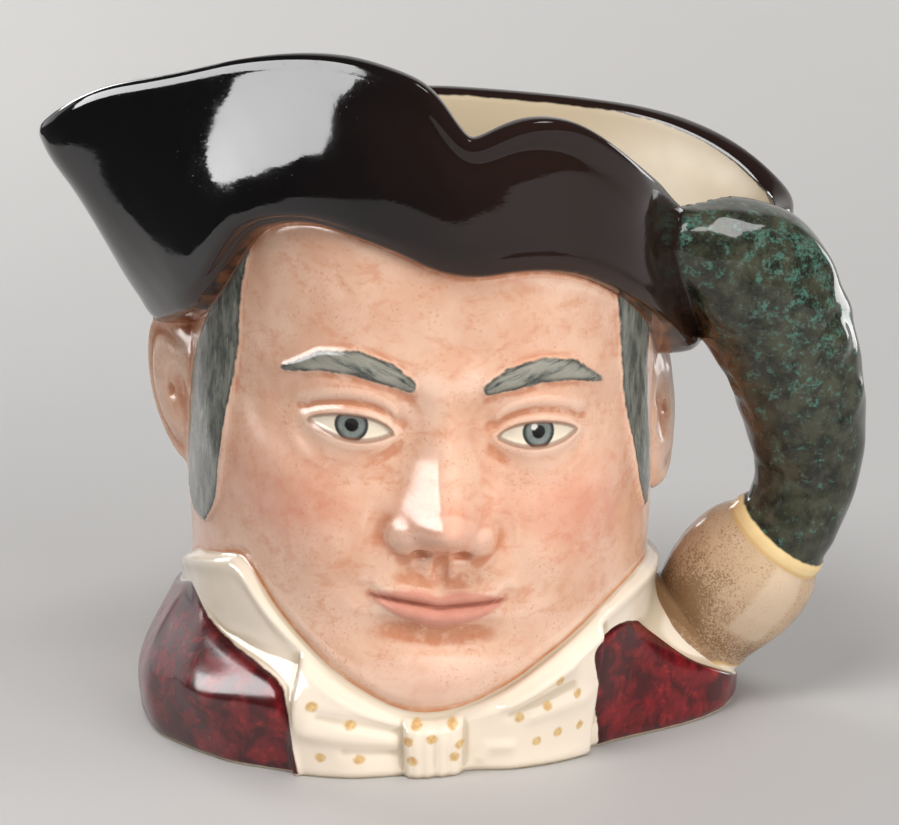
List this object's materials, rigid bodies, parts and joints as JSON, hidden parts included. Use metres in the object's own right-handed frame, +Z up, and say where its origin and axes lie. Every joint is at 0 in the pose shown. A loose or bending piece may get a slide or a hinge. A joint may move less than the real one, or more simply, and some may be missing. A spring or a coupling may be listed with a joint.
{
  "type": "character jug",
  "caption": "Small glazed earthenware head jug: man in a tricorn hat with pouring lip, spotted bow, and a bough-and-cask handle.",
  "frame": {"origin": "on the flat underside, on the axis of the body", "axes": "+Z up, the face looks along -Y, the handle is at +X and the pouring lip at -X"},
  "size_m": [0.0967, 0.074, 0.0837],
  "materials": {
    "glazed_earthenware": "glossy"
  },
  "bodies": {
    "root": {"character_jug": "glazed_earthenware"}
  },
  "joints": []
}
